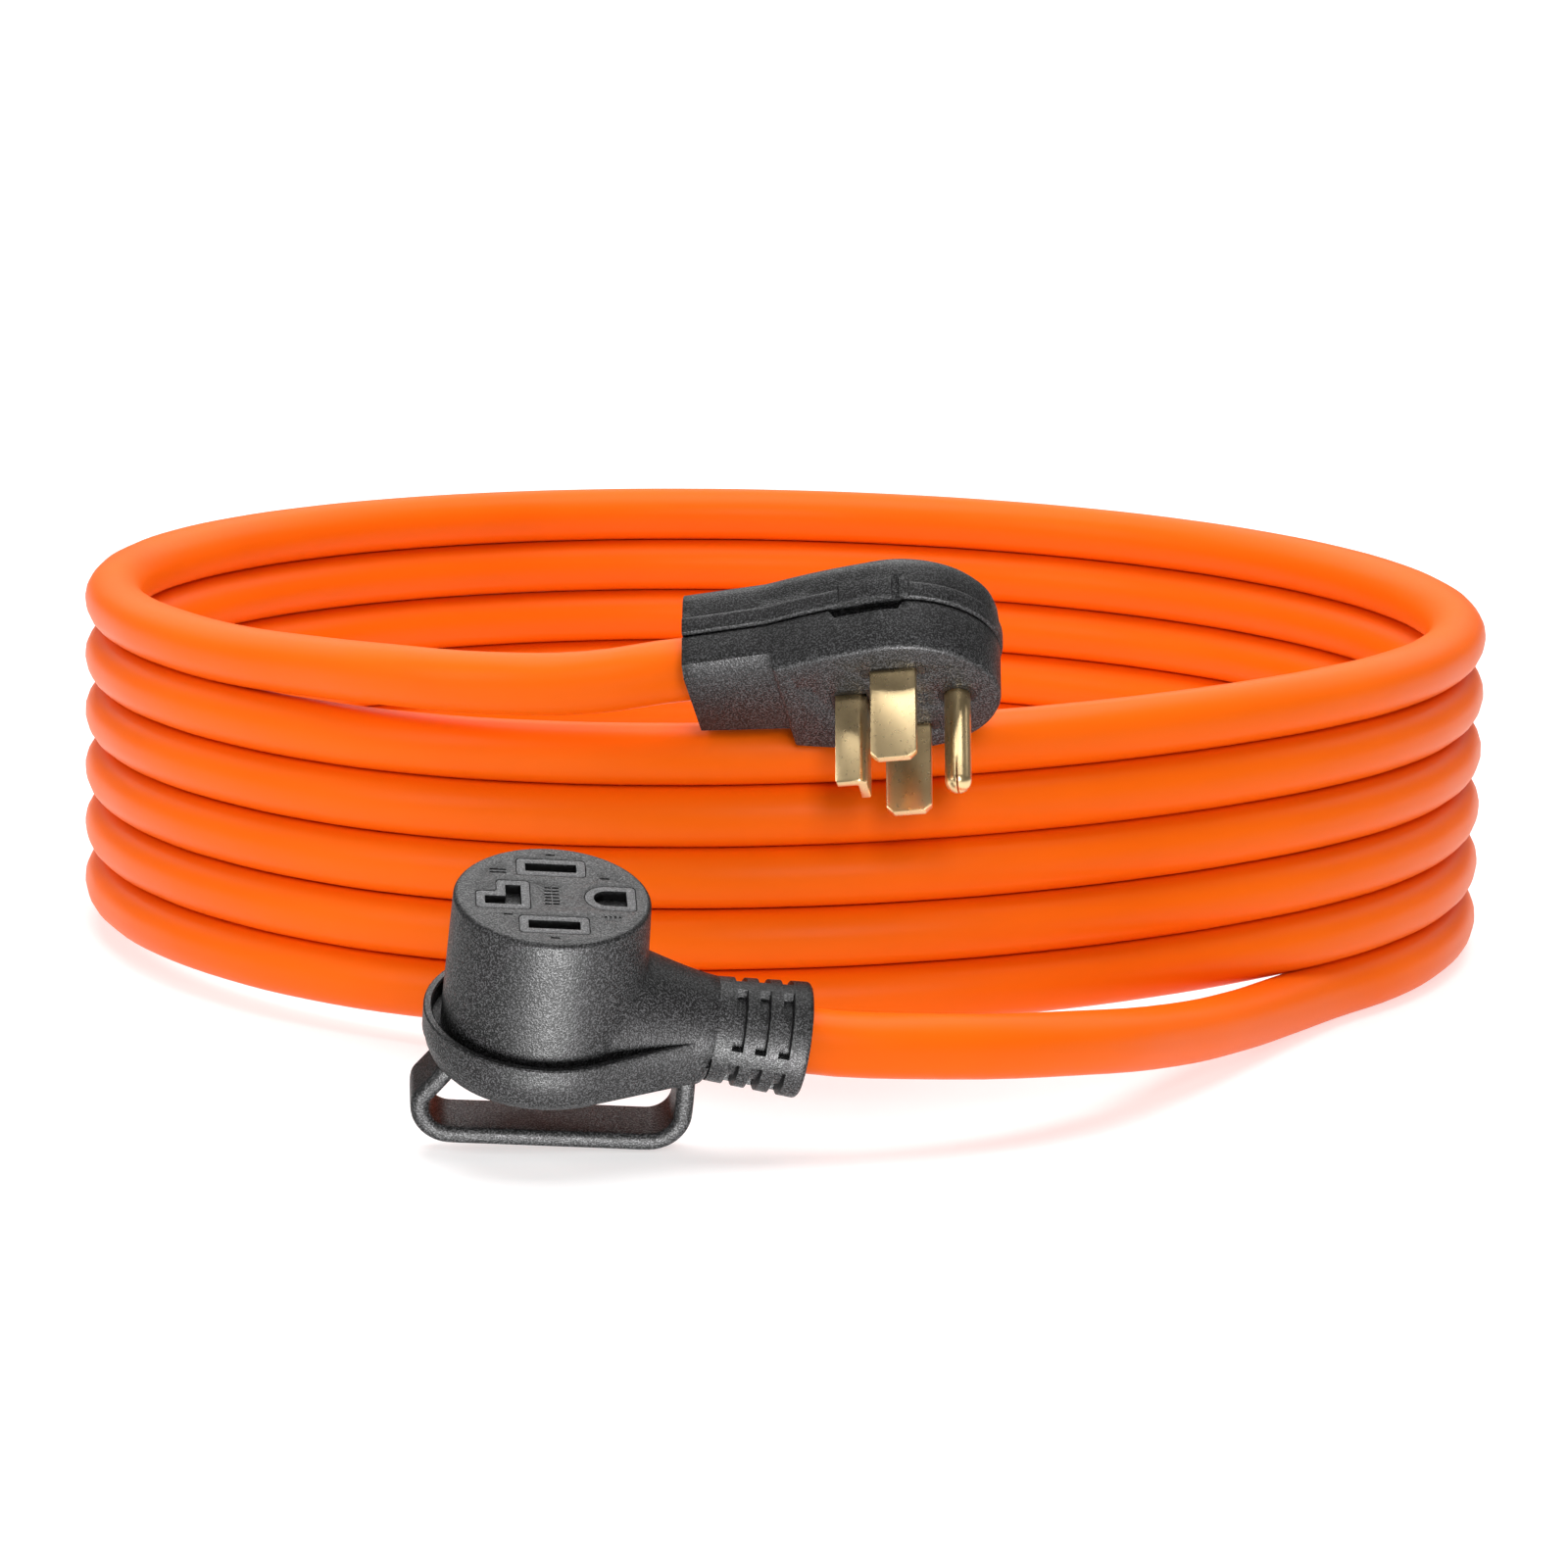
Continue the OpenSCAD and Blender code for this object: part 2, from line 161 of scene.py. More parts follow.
def rounded_box(x0, x1, y0, y1, r, steps=5):
    """Outline of a rectangle with round corners."""
    return (
        arc(x1 - r, y1 - r, r, 0, 90, steps) + arc(x0 + r, y1 - r, r, 90, 180, steps)
        + arc(x0 + r, y0 + r, r, 180, 270, steps) + arc(x1 - r, y0 + r, r, 270, 360, steps)
    )


def applied(piece):
    """Bakes the piece's modifiers into its mesh."""
    graph = bpy.context.evaluated_depsgraph_get()
    mesh = bpy.data.meshes.new_from_object(piece.evaluated_get(graph))
    old = piece.data
    piece.modifiers.clear()
    piece.data = mesh
    bpy.data.meshes.remove(old)
    return piece


def cut(piece, tool, how="DIFFERENCE"):
    """Boolean of two closed meshes; the tool is used up."""
    step = piece.modifiers.new("cut", "BOOLEAN")
    step.object = tool
    step.operation = how
    step.solver = "EXACT"
    applied(piece)
    bpy.data.objects.remove(tool)
    return piece


def rounded(piece, width, segments=3, angle=30):
    """Rounds every edge sharper than angle, then shades smooth between the remaining ones."""
    step = piece.modifiers.new("round", "BEVEL")
    step.width = width * MM
    step.segments = segments
    step.limit_method = "ANGLE"
    step.angle_limit = math.radians(angle)
    step.harden_normals = False
    applied(piece)
    return smooth(piece, 40)


def smooth(piece, angle=40):
    piece.data.shade_smooth()
    piece.data.set_sharp_from_angle(angle=math.radians(angle))
    return piece


def finished(piece, place, material, nodes=()):
    """Moves a piece from its fitting's frame to the object's, gives it its material and hides the CAD nodes
    it stands for.
    """
    piece.data.transform(place)
    piece.data.materials.clear()
    piece.data.materials.append(material)
    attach(piece, "root")
    if nodes:
        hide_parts(*nodes)
    return piece


# ---------- materials ----------

def new_material(name, color, roughness, specular=0.5, metallic=0.0):
    material = bpy.data.materials.new(name)
    material.use_nodes = True
    shader = material.node_tree.nodes["Principled BSDF"]
    shader.inputs["Base Color"].default_value = (*color, 1)
    shader.inputs["Roughness"].default_value = roughness
    shader.inputs["Specular IOR Level"].default_value = specular
    shader.inputs["Metallic"].default_value = metallic
    return material, shader


def noise_node(tree, scale, detail=2.0, stretch=(1, 1, 1)):
    where = tree.nodes.new("ShaderNodeTexCoord")
    size = tree.nodes.new("ShaderNodeMapping")
    size.inputs["Scale"].default_value = stretch
    grain = tree.nodes.new("ShaderNodeTexNoise")
    grain.inputs["Scale"].default_value = scale
    grain.inputs["Detail"].default_value = detail
    tree.links.new(where.outputs["Object"], size.inputs["Vector"])
    tree.links.new(size.outputs["Vector"], grain.inputs["Vector"])
    return grain.outputs["Fac"]


def ramp(tree, factor, stops):
    """Colour or grey along a factor: stops are (position, colour)."""
    node = tree.nodes.new("ShaderNodeValToRGB")
    elements = node.color_ramp.elements
    while len(elements) < len(stops):
        elements.new(0.5)
    for element, (position, color) in zip(elements, stops):
        element.position = position
        element.color = (*color, 1)
    tree.links.new(factor, node.inputs["Fac"])
    return node.outputs["Color"]


def bump(tree, shader, height, strength, distance):
    node = tree.nodes.new("ShaderNodeBump")
    node.inputs["Strength"].default_value = strength
    node.inputs["Distance"].default_value = distance
    tree.links.new(height, node.inputs["Height"])
    tree.links.new(node.outputs["Normal"], shader.inputs["Normal"])


def grained_plastic(name, dark, light):
    """Moulded plastic with a fine spark-eroded grain that glitters in the highlights."""
    material, shader = new_material(name, dark, 0.42, 0.15)
    tree = material.node_tree
    fine = noise_node(tree, 2200, 1.0)
    tree.links.new(ramp(tree, fine, [(0.46, dark), (0.66, light)]), shader.inputs["Base Color"])
    tree.links.new(ramp(tree, fine, [(0.40, (0.54,) * 3), (0.65, (0.32,) * 3)]), shader.inputs["Roughness"])
    bump(tree, shader, fine, 0.7, 0.0002)
    return material


def plastic_with_painted_slot_shade(name, dark, light):
    """Grained plastic with painted shade: ambient occlusion darkens its colour, so it goes black down its
    deep slots.
    """
    material = grained_plastic(name, dark, light)
    tree = material.node_tree
    shader = tree.nodes["Principled BSDF"]
    color = shader.inputs["Base Color"].links[0].from_socket
    # painted shade: the base colour is multiplied by ambient occlusion, so slots and recesses are darkened in
    # the colour itself
    depth = tree.nodes.new("ShaderNodeAmbientOcclusion")
    depth.inputs["Distance"].default_value = 0.008
    painted_shade_factor = ramp(tree, depth.outputs["AO"], [(0.50, (0, 0, 0)), (0.80, (1, 1, 1))])
    mix = tree.nodes.new("ShaderNodeMixRGB")
    mix.blend_type = "MULTIPLY"
    mix.inputs["Fac"].default_value = 1
    tree.links.new(color, mix.inputs["Color1"])
    tree.links.new(painted_shade_factor, mix.inputs["Color2"])
    tree.links.new(mix.outputs["Color"], shader.inputs["Base Color"])
    return material


def orange_jacket():
    """Satin thermoplastic jacket: slight mottling in gloss and colour, a fine skin."""
    material, shader = new_material("orange_jacket", (0.88, 0.126, 0.002), 0.4, 0.1)
    tree = material.node_tree
    cloud = noise_node(tree, 18, 3.0)
    fine = noise_node(tree, 420, 2.0)
    color = ramp(tree, cloud, [(0.3, (0.85, 0.120, 0.002)), (0.7, (0.90, 0.132, 0.002))])
    tree.links.new(color, shader.inputs["Base Color"])
    tree.links.new(ramp(tree, cloud, [(0.3, (0.36,) * 3), (0.7, (0.44,) * 3)]), shader.inputs["Roughness"])
    bump(tree, shader, fine, 0.1, 0.0002)
    return material


def brass():
    """Rolled brass: a fine lengthwise brushing and slow drifts of colour."""
    material, shader = new_material("brass", (0.83, 0.63, 0.34), 0.28, metallic=1.0)
    tree = material.node_tree
    patches = noise_node(tree, 25, 1.0)
    brushed = noise_node(tree, 900, 2.0, (1, 1, 0.12))
    color = ramp(tree, patches, [(0.3, (0.80, 0.59, 0.31)), (0.7, (0.87, 0.67, 0.38))])
    tree.links.new(color, shader.inputs["Base Color"])
    tree.links.new(ramp(tree, brushed, [(0.3, (0.27,) * 3), (0.7, (0.30,) * 3)]), shader.inputs["Roughness"])
    bump(tree, shader, brushed, 0.02, 0.00002)
    return material


def insulation(name, color):
    """Extruded wire insulation with a faint surface ripple."""
    material, shader = new_material(name, color, 0.4)
    ripple = noise_node(material.node_tree, 300, 2.0)
    bump(material.node_tree, shader, ripple, 0.15, 0.0002)
    return material


# ---------- cable ----------

def settled(psi):
    """Drops of one turn made by the angle psi, in degrees clockwise from the front, seen from above."""
    start, span = 310, 90
    whole = math.floor((psi - start) / 360)
    t = min(max((psi - start - 360 * whole) / span, 0), 1)
    return whole + t * t * (3 - 2 * t)


def coil_height(psi, steady=0.45):
    """Height of the cable's middle: part of each drop is steady, the rest is made at the front."""
    end = 5 * 360 + 310

    def dropped(a):
        return CABLE_D * (steady * a / 360 + (1 - steady) * settled(a))

    return CABLE_D / 2 + dropped(end) - dropped(psi)


def coil_point(psi):
    a = math.radians(psi)
    return Vector((-COIL_R * math.sin(a), -COIL_R * math.cos(a), coil_height(psi)))


def cable_route():
    """Middle line from the connector's boot through the coil to the plug's neck."""
    first = [Vector(p) * MM for p in CONNECTOR_TAIL[:-1]]
    last = [Vector(p) * MM for p in reversed(PLUG_TAIL[:-1])]
    step = 10
    turns = [coil_point(psi) for psi in range(5 * 360 + 310, 49, -step)]
    return first + turns + last


def make_cable(material):
    """One poly spline through a smooth curve, swept with a round section."""
    route = cable_route()
    middle = bpy.data.curves.new("cable", "CURVE")
    middle.dimensions = "3D"
    spline = middle.splines.new("BEZIER")
    spline.bezier_points.add(len(route) - 1)
    for point, place in zip(spline.bezier_points, route):
        point.co = place
        point.handle_left_type = "AUTO"
        point.handle_right_type = "AUTO"
    out_of_boot = IN_CONNECTOR.to_3x3() @ Vector((math.cos(NECK_DIP), 0, -math.sin(NECK_DIP)))
    out_of_plug = IN_PLUG.to_3x3() @ Vector((1, 0, 0))
    for index, outward, sign in ((0, out_of_boot, 1), (-1, out_of_plug, -1)):
        point = spline.bezier_points[index]
        along = outward * 0.012
        point.handle_left_type = "FREE"
        point.handle_right_type = "FREE"
        point.handle_right = point.co + along * sign
        point.handle_left = point.co - along * sign
    middle.resolution_u = 4
    middle.bevel_depth = CABLE_D / 2
    middle.bevel_resolution = 8
    middle.use_fill_caps = True
    cable = bpy.data.objects.new("cable", middle)
    bpy.context.scene.collection.objects.link(cable)
    middle.materials.append(material)
    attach(cable, "root")
    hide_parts("cable_coil", "cable_top_turn", "cable_plug_tail", "cable_connector_tail")
    return cable


# ---------- connector ----------

def keyhole(r, x, h, z, count=48, tip=12):
    """Ring at height z: a round end of radius r that narrows along tangents to half width h at x."""
    a = math.degrees(math.atan2(h, x) + math.acos(min(r / math.hypot(x, h), 1)))
    round_end = arc(0, 0, r, a, 360 - a, count)
    r_tip = min(h * 0.5, 4)
    near = arc(x - r_tip, -h + r_tip, r_tip, 270, 360, tip)
    far = arc(x - r_tip, h - r_tip, r_tip, 0, 90, tip)
    return [(px, py, z) for px, py in round_end + near + far]


def revolved(name, profile, steps=96, axis="Z"):
    """Closed solid of revolution of (radius, height) points, with both ends closed."""
    rings = []
    for r, h in profile:
        ring = []
        for k in range(steps):
            a = 2 * math.pi * k / steps
            x, y = r * math.cos(a), r * math.sin(a)
            ring.append((x, y, h) if axis == "Z" else (h, x, y))
        rings.append(ring)
    return loft(name, rings)


def neutral_window(grow):
    """L outline of the neutral slot, grown by a rim, with round corners where a rim is asked for."""
    x1, x2 = -7.95 + grow, -11.85 - grow
    x3 = -17.1 - grow
    y1, y2, y3 = 4.8 + grow, -0.9 + grow, -4.8 - grow
    r = 1.2 if grow else 0.25
    outline = arc(x1 - r, y1 - r, r, 0, 90, 4) + arc(x2 + r, y1 - r, r, 90, 180, 4)
    outline += [(x2, y2)] if not grow else arc(x2 - r, y2 + r, r, 0, -90, 4)
    outline += arc(x3 + r, y2 - r, r, 90, 180, 4) + arc(x3 + r, y3 + r, r, 180, 270, 4)
    return outline + arc(x1 - r, y3 + r, r, 270, 360, 4)


def ground_window(grow):
    """U outline of the ground slot: round toward the middle, flat outward."""
    r = 3.7 + grow
    x1 = 18.7 + grow
    c = 1.2 if grow else 0.25
    outline = arc(14, 0, r, 90, 270, 16)
    return outline + arc(x1 - c, -r + c, c, 270, 360, 4) + arc(x1 - c, r - c, c, 0, 90, 4)


def hot_window(side, grow):
    r = 1.2 if grow else 0.25
    y = side * HOT_Y
    return rounded_box(-6.5 - grow, 6.5 + grow, y - 1.95 - grow, y + 1.95 + grow, r)


def face_windows(grow):
    return [hot_window(-1, grow), hot_window(1, grow), neutral_window(grow), ground_window(grow)]


def in_neck(x, y, z):
    """Point given along the connector's dipping neck, z from the neck's axis, in the connector's frame."""
    dx = x - NECK_BEND_X
    c, s = math.cos(NECK_DIP), math.sin(NECK_DIP)
    return NECK_BEND_X + dx * c + z * s, y, NECK_Z - dx * s + z * c


def neck_ring(x, radius, low=-60, first=0, last=354, step=6):
    """Section of the neck: an arc from the angle first to last, cut off flat below low."""
    ring = []
    for degrees in range(first, last + 1, step):
        a = math.radians(degrees)
        px, py, pz = in_neck(x, radius * math.cos(a), radius * math.sin(a))
        ring.append((px, py, max(pz, low)))
    return ring


def connector_front(material):
    """Tapered nose with the neck growing out of it in a saddle."""
    straight_z, taper, rim = -33, 0.9, 1.3
    face_r = NOSE_R - taper
    profile = [(NOSE_R, NOSE_BOTTOM), (NOSE_R, straight_z)]
    profile += [(face_r + taper * z / straight_z, z) for z in (-25, -15, -8)]
    profile += [(face_r - rim + r, z) for r, z in arc(0, -rim, rim, 0, 90, 5)]
    nose = revolved("connector_front_skin", profile, 128)
    neck_end, saddle, saddle_len, above_bottom = 43.1, 7.6, 29, 0.2
    neck = loft("neck", [
        neck_ring(x, BOOT_R + saddle * ((neck_end - x) / saddle_len) ** 1.3, NOSE_BOTTOM + above_bottom)
        for x in (13, 16, 19, 22, 25, 28, 31, 34, 37, 40, neck_end)
    ])
    cut(nose, neck, "UNION")
    for index, window in enumerate(face_windows(2.2 + 0.2)):
        cut(nose, prism("window" + str(index), window, -2.6, 1))
    for tool in face_marks():
        cut(nose, tool)
    rounded(nose, 0.35, 2, 50)
    return finished(nose, IN_CONNECTOR, material, ["connector_front_shell"])


def face_marks():
    """Shallow plain bars and dots pressed in the face where a maker's moulded marks would be."""
    marks = []
    spots = [(-1.2, y, 0.9, 0.35) for y in (-4, -2.4, -0.8, 0.8, 2.4, 4)]
    spots += [(0.8, y, 0.9, 0.35) for y in (-4, -2.4, -0.8, 0.8, 2.4, 4)]
    spots += [(13 + 1.2 * i, -10.2, 0.3, 1.3) for i in range(4)]
    spots += [(-13.5, 11, 2.2, 0.35), (-13.5, 12.4, 2.2, 0.35)]
    spots += [(-11.5, -10, 1.2, 0.4), (0, 20.8, 1.2, 0.4), (0, -20.8, 1.2, 0.4), (13.5, 9.8, 1.2, 0.4)]
    for index, (x, y, hx, hy) in enumerate(spots):
        bar = rounded_box(x - hx, x + hx, y - hy, y + hy, 0.28, 3)
        marks.append(prism("mark" + str(index), bar, -MARK_DEPTH, 1))
    return marks


def connector_insert(material):
    body = revolved("connector_face_skin", [(21.5, -16.5), (21.5, -2.8)], 96)
    for index, window in enumerate(face_windows(2.2)):
        cut(body, prism("rim" + str(index), window, -4, -0.02), "UNION")
    for index, window in enumerate(face_windows(0)):
        cut(body, prism("slot" + str(index), window, -15.5, 1))
    rounded(body, 0.2, 2, 50)
    return finished(body, IN_CONNECTOR, material, ["connector_face_insert"])


def shell_ring(inset, z):
    return keyhole(CUP_R - inset, BOOT_X - inset * 0.4, CUP_TIP_HALF - inset * 0.5, z)


def connector_rear(material):
    """Cup that the nose stands in: straight wall, faint step, a bowl, and the neck's lower half."""
    bowl = [(12, -48.6), (7.5, -48.2), (4.4, -47.0), (2.2, -44.8), (1.0, -42.2), (0.5, -39.7)]
    wall = [(0.45, -39.3), (0, -39.0), (0, -37), (0, -33.4), (0.4, -33)]
    inside = [(1.8, -33), (2.2, -33.4), (2.2, -37.5)]
    rings = [shell_ring(inset, z) for inset, z in bowl + wall + inside]
    cup = loft("connector_rear_skin", rings)
    neck = loft("under_neck", [neck_ring(x, 13.3, first=200, last=340, step=7) for x in (18, 30, 42.6)])
    cut(cup, neck, "UNION")
    rounded(cup, 0.3, 2, 50)
    return finished(cup, IN_CONNECTOR, material, ["connector_rear_shell"])


def boot_radius(x, angle):
    """Radius of the ringed boot: a cone with three rows of four windows and a parting line."""
    length, flare, rounding_x, window_depth = 24, 1.6, 66, 2.7
    r = BOOT_R + flare * (x - BOOT_X) / length
    if x > rounding_x:
        r -= (x - rounding_x) ** 2 * 0.8
    quarter = (angle + 45) % 90 - 45
    in_row = any(abs(x - row) < 1.35 for row in BOOT_ROWS)
    if in_row and abs(quarter) < 36.5:
        r -= window_depth
    return r


def boot_grid():
    """Stations along and around the boot, doubled at the windows' edges so that they come out crisp."""
    along = [BOOT_X, BOOT_X + 1.5, BOOT_X + 3]
    for row in BOOT_ROWS:
        along += [row - 1.45, row - 1.3, row, row + 1.3, row + 1.45]
        along += [row + 3]
    along += [65, 66, 66.5, 67]
    around = []
    for quarter in range(4):
        middle = 90 * quarter
        around += [middle - 45, middle - 41, middle - 36.8, middle - 36.2]
        around += [middle + a for a in range(-32, 33, 4)]
        around += [middle + 36.2, middle + 36.8, middle + 41]
    return along, around


def connector_boot(material):
    along, around = boot_grid()
    rings = []
    for x in along:
        ring = []
        for angle in around:
            r = boot_radius(x, angle)
            a = math.radians(angle + 45)
            ring.append(in_neck(x, r * math.cos(a), r * math.sin(a)))
        rings.append(ring)
    boot = loft("connector_boot_skin", rings)
    smooth(boot, 35)
    return finished(boot, IN_CONNECTOR, material, ["connector_strain_relief"])


def strap_path():
    """Middle line of the grip's strap in its side view, from the left foot round to the right foot."""
    path = [(-20.5, -43.5), (-24.5, -50), (-29, -56)]
    path += arc(-21.5, -59.0, 8.6, 165, 270, 8)
    path += [(-10, -67.4), (4, -67.5), (18, -67.4)]
    path += arc(28.5, -58.6, 8.9, 270, 360, 8)
    path += [(37.4, -51), (37.2, -43.5)]
    return path


def connector_grip(material):
    """Strap with full round edges, swept along its path."""
    path = strap_path()
    section = rounded_box(-2.4, 2.4, -8, 8, 1.9, 6)
    rings = []
    for index, (x, z) in enumerate(path):
        before = path[max(index - 1, 0)]
        after = path[min(index + 1, len(path) - 1)]
        along = Vector((after[0] - before[0], after[1] - before[1])).normalized()
        out = Vector((along.y, -along.x))
        rings.append([(x + out.x * u, v, z + out.y * u) for u, v in section])
    grip = loft("connector_grip_skin", rings)
    step = grip.modifiers.new("round", "SUBSURF")
    step.levels = 1
    step.render_levels = 1
    applied(grip)
    smooth(grip, 60)
    return finished(grip, IN_CONNECTOR, material, ["connector_grip_handle"])


# ---------- plug ----------

def plug_half_width(x, r, neck):
    """Half width of the plug's outline at x: a round end, full shoulders, then a tapering neck."""
    round_x, shoulder_x, bulge = 6, 33, 2.5
    shoulder = neck + 2.4
    if x > shoulder_x:
        return neck + (shoulder - neck) * (PLUG_NECK_X - x) / (PLUG_NECK_X - shoulder_x)
    start = math.sqrt(r * r - round_x * round_x)
    t = (x - round_x) / (shoulder_x - round_x)
    return start + (shoulder - start) * t + bulge * t * (1 - t)


def plug_outline(inset, end_x=PLUG_NECK_X):
    """Outline of the plug, counter-clockwise from the neck's far corner."""
    r, neck = PLUG_R - inset, PLUG_NECK_HALF - inset
    xs = [end_x - (end_x - 6) * i / 18 for i in range(19)]
    far = [(x, plug_half_width(x, r, neck)) for x in xs]
    start = math.degrees(math.atan2(far[-1][1], 6))
    return far + arc(0, 0, r, start, 360 - start, 44)[1:-1] + [(x, -y) for x, y in reversed(far)]


def plug_ring(inset, z, end_x=PLUG_NECK_X):
    return [(x, y, z) for x, y in plug_outline(inset, end_x)]


def plug_windows(grow):
    """Outlines of the blade seats that show in the face."""
    windows = [
        rounded_box(-8.6 - grow, 8.6 + grow, y - 2 - grow, y + 2 + grow, 1) for y in (-HOT_Y, HOT_Y)
    ]
    windows.append(rounded_box(7.3 - grow, 18.3 + grow, -6.5 - grow, 6.5 + grow, 1))
    windows.append(arc(PIN_X, 0, 5 + grow, 0, 352.5, 47))
    return windows


def plug_base(material):
    """Face half: a straight wall, a raised face with an eased edge, and a lower neck with a bevelled edge."""
    body = loft("plug_base_skin", [
        plug_ring(0.9, -15), plug_ring(0.35, -14.6), plug_ring(0, -14), plug_ring(0, -7.5),
        plug_ring(0.3, -6), plug_ring(3.6, -3.6),
    ])
    eased_edge = ((0, -9), (0, -1.2), (0.4, -0.4), (1.2, 0))
    face = [plug_ring(inset, z, FACE_STEP_X - inset) for inset, z in eased_edge]
    cut(body, loft("face", face), "UNION")
    for index, window in enumerate(plug_windows(0.12)):
        cut(body, prism("window" + str(index), window, -1.6, 1))
    for tool in plug_marks():
        cut(body, tool)
    cut(body, loft("pocket", [
        [(17, -32, -16), (-5.5, -32, -16), (-5.5, -23.6, -16), (17, -21.4, -16)],
        [(14, -32, -12), (-3, -32, -12), (-3, -24.4, -12), (14, -22.6, -12)],
    ]))
    rounded(body, 0.3, 2, 50)
    return finished(body, IN_PLUG, material, ["plug_base_shell"])


def plug_marks():
    """Shallow plain bars pressed in the face where a maker's moulded marks would be."""
    spots = [(-5, y, 0.35, 1.0) for y in (-2.2, 0.2, 2.6)] + [(-6.6, y, 0.35, 1.0) for y in (-2.2, 0.2, 2.6)]
    spots += [(26 - 1.1 * i, -9.5, 0.25, 1.3) for i in range(4)]
    return [
        prism("mark" + str(i), rounded_box(x - hx, x + hx, y - hy, y + hy, 0.24, 3), -MARK_DEPTH, 1)
        for i, (x, y, hx, hy) in enumerate(spots)
    ]


def plug_cover(material):
    """Back half: a lip that stands a little proud, a crowned back and a grip pad with a notch in it."""
    sections = [
        (7.5, -30), (4.6, -29.7), (2.6, -29.0), (1.2, -27.6), (0.5, -25.6), (0.2, -23), (0, -20.4),
        (-0.6, -19.8), (-0.7, -19.2), (-0.7, -16.6), (-0.5, -15.7), (0.1, -15.3),
    ]
    body = loft("plug_cover_skin", [plug_ring(inset, z) for inset, z in sections])
    pad = [(16, -20), (12.5, -26.2), (6, -27.7), (0, -28.2), (-6, -27.8), (-6, -20)]
    cut(body, prism("pad", pad, -21, -15.6), "UNION")
    cut(body, loft("notch", [
        [(-1.6, -32, z), (-3.6, -32, z), (-3.6, -25.9, z), (-1.6, -25.9, z)] for z in (-14, -22.5)
    ]))
    rounded(body, 0.3, 2, 50)
    return finished(body, IN_PLUG, material, ["plug_cover_shell"])


def hot_blade(name, side, material):
    """Flat blade with chamfered tip corners and a bevelled end."""
    half, end, tip = HOT_HALF, BLADE_END, 1.9
    outline = [
        (-half, BLADE_ROOT), (half, BLADE_ROOT),
        (half, end - tip), (half - tip, end), (-half + tip, end), (-half, end - tip),
    ]
    y = side * HOT_Y
    sides = (y - BLADE_HALF_THICK, y + BLADE_HALF_THICK)
    blade = loft(name + "_skin", [[(x, across, z) for x, z in outline] for across in sides])
    rounded(blade, 0.4, 3, 30)
    return finished(blade, IN_PLUG, material, [name])


def neutral_blade(material):
    """Strip bent to an L, round on the outside of the bend, with a bevelled tip."""
    x0, x1 = 8.7, 16.9
    y0, y1 = -4.75, 4.75
    t = 2 * BLADE_HALF_THICK
    bevel_z, bevel = BLADE_END - 0.9, 0.93
    outline = [(x1, y0), (x1, y0 + t)] + arc(x0 + t + 0.6, y0 + t + 0.6, 0.6, 270, 180, 3)
    outline += [(x0 + t, y1), (x0, y1)] + arc(x0 + 2.2, y0 + 2.2, 2.2, 180, 270, 6)
    rings = [[(x, y, z) for x, y in outline] for z in (BLADE_ROOT, bevel_z)]
    cx, cy = 11.5, -2.0
    rings.append([(cx + (x - cx) * bevel, cy + (y - cy) * bevel, BLADE_END) for x, y in outline])
    blade = loft("plug_neutral_blade_skin", rings)
    rounded(blade, 0.3, 2, 30)
    return finished(blade, IN_PLUG, material, ["plug_neutral_blade"])


def ground_pin(material):
    """Rolled pin with a round tip, split down its seam."""
    profile = [(PIN_R, z) for z in (BLADE_ROOT, 0, 10, 20)]
    profile += [(r, PIN_ROUND_Z + h) for r, h in arc(0, 0, PIN_R, 0, 88, 10)]
    pin = revolved("plug_ground_pin_skin", profile, 48)
    slit = [(-0.22, -4.5), (0.22, -4.5), (0.22, 4.5), (-0.22, 4.5)]
    cut(pin, prism("split", slit, 22.5, 31))
    rounded(pin, 0.25, 2, 50)
    pin.data.transform(Matrix.Translation((PIN_X * MM, 0, 0)))
    return finished(pin, IN_PLUG, material, ["plug_ground_pin"])


# ---------- surroundings ----------

def make_floor():
    bm = bmesh.new()
    bmesh.ops.create_grid(bm, x_segments=2, y_segments=2, size=6)
    floor = from_bmesh("floor", bm)
    material, shader = new_material("floor_white", (0.5, 0.5, 0.5), 0.8, 0.1)
    shader.inputs["Emission Color"].default_value = (1, 1, 1, 1)
    shader.inputs["Emission Strength"].default_value = 0.6
    floor.data.materials.append(material)
    floor.location.z = -0.0002


def area_light(name, place, target, size, power):
    data = bpy.data.lights.new(name, "AREA")
    data.shape = "RECTANGLE"
    data.size, data.size_y = size
    data.energy = power
    light = bpy.data.objects.new(name, data)
    bpy.context.scene.collection.objects.link(light)
    light.location = place
    light.rotation_euler = (Vector(target) - Vector(place)).to_track_quat("-Z", "Y").to_euler()
    return light


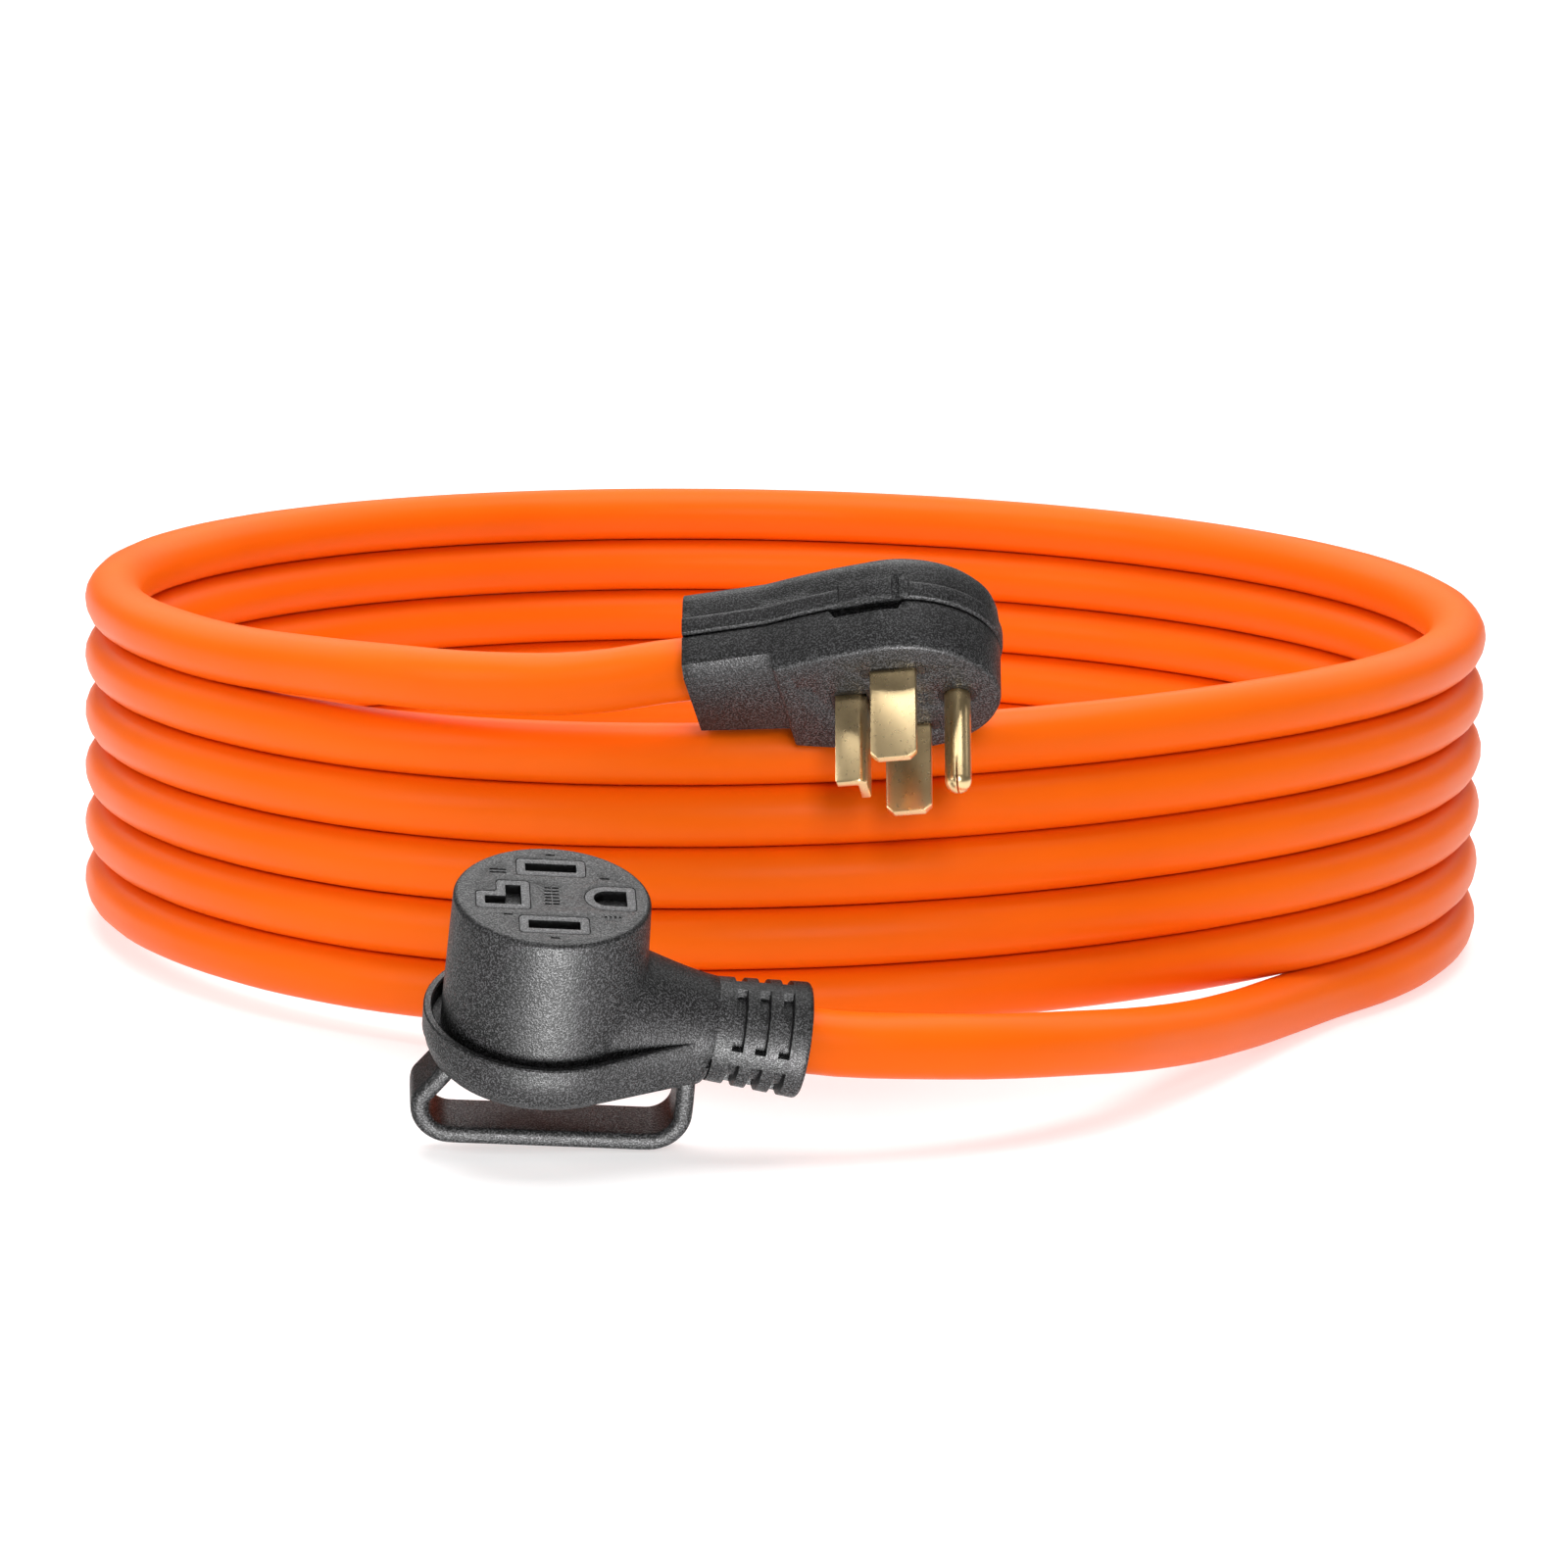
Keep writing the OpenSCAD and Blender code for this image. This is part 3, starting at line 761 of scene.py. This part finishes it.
def make_lights(plastic_pieces):
    """Soft studio light, and two reflectors that only the moulded plastic sees."""
    world = bpy.data.worlds.new("studio")
    world.use_nodes = True
    world.node_tree.nodes["Background"].inputs["Color"].default_value = (1, 1, 1, 1)
    world.node_tree.nodes["Background"].inputs["Strength"].default_value = 0.15
    bpy.context.scene.world = world
    area_light("top", (0, -0.08, 1.7), (0, -0.08, 0), (1.6, 1.3), 32)
    area_light("front", (0.22, -1.9, 0.85), (0, -0.2, 0.05), (0.30, 0.8), 14)
    area_light("left", (-1.5, -0.9, 0.9), (0, -0.1, 0.05), (0.5, 0.9), 8)
    area_light("far_floor", (0, 4.2, 2.8), (0, 4.2, 0), (10, 7), 300)
    fitting = (-0.03, -0.3, 0.07)
    reflectors = [
        area_light("low_reflector", (0.12, -1.35, -0.55), fitting, (0.6, 0.5), 115),
        area_light("back_reflector", (-0.05, 0.65, 1.15), fitting, (0.8, 0.5), 10),
    ]
    plastic_only = bpy.data.collections.new("plastic_only")
    for piece in plastic_pieces:
        plastic_only.objects.link(piece)
    for reflector in reflectors:
        reflector.light_linking.receiver_collection = plastic_only
        reflector.light_linking.blocker_collection = plastic_only


def paint_inner_nodes(materials):
    """Gives each CAD node that stays its material."""
    for entry in frame["record"]["subparts"]:
        node = bpy.data.objects.get(entry["node"])
        if node is None or node.hide_render:
            continue
        for slot in node.material_slots:
            slot.material = materials[entry["material_slot"]]


def main():
    make_camera()
    materials = {
        "orange_jacket": orange_jacket(),
        "black_plastic": grained_plastic("black_plastic", (0.0005, 0.0005, 0.0005), (0.020, 0.020, 0.0205)),
        # the grey insert's colour carries painted shade that darkens its slots
        "grey_plastic": plastic_with_painted_slot_shade("grey_plastic", (0.028, 0.028, 0.029), (0.072, 0.072, 0.074)),
        "brass": brass(),
        "insulation_black": insulation("insulation_black", (0.02, 0.02, 0.02)),
        "insulation_red": insulation("insulation_red", (0.5, 0.02, 0.015)),
        "insulation_white": insulation("insulation_white", (0.75, 0.75, 0.72)),
        "insulation_green": insulation("insulation_green", (0.02, 0.22, 0.05)),
    }
    cable = make_cable(materials["orange_jacket"])
    black, metal = materials["black_plastic"], materials["brass"]
    connector = [
        connector_front(black), connector_insert(materials["grey_plastic"]), connector_rear(black),
        connector_boot(black), connector_grip(black),
    ]
    plug = [
        plug_base(black), plug_cover(black), hot_blade("plug_hot_blade_x", -1, metal),
        hot_blade("plug_hot_blade_y", 1, metal), neutral_blade(metal), ground_pin(metal),
    ]
    paint_inner_nodes(materials)
    make_floor()
    make_lights(connector + plug[:2])


main()
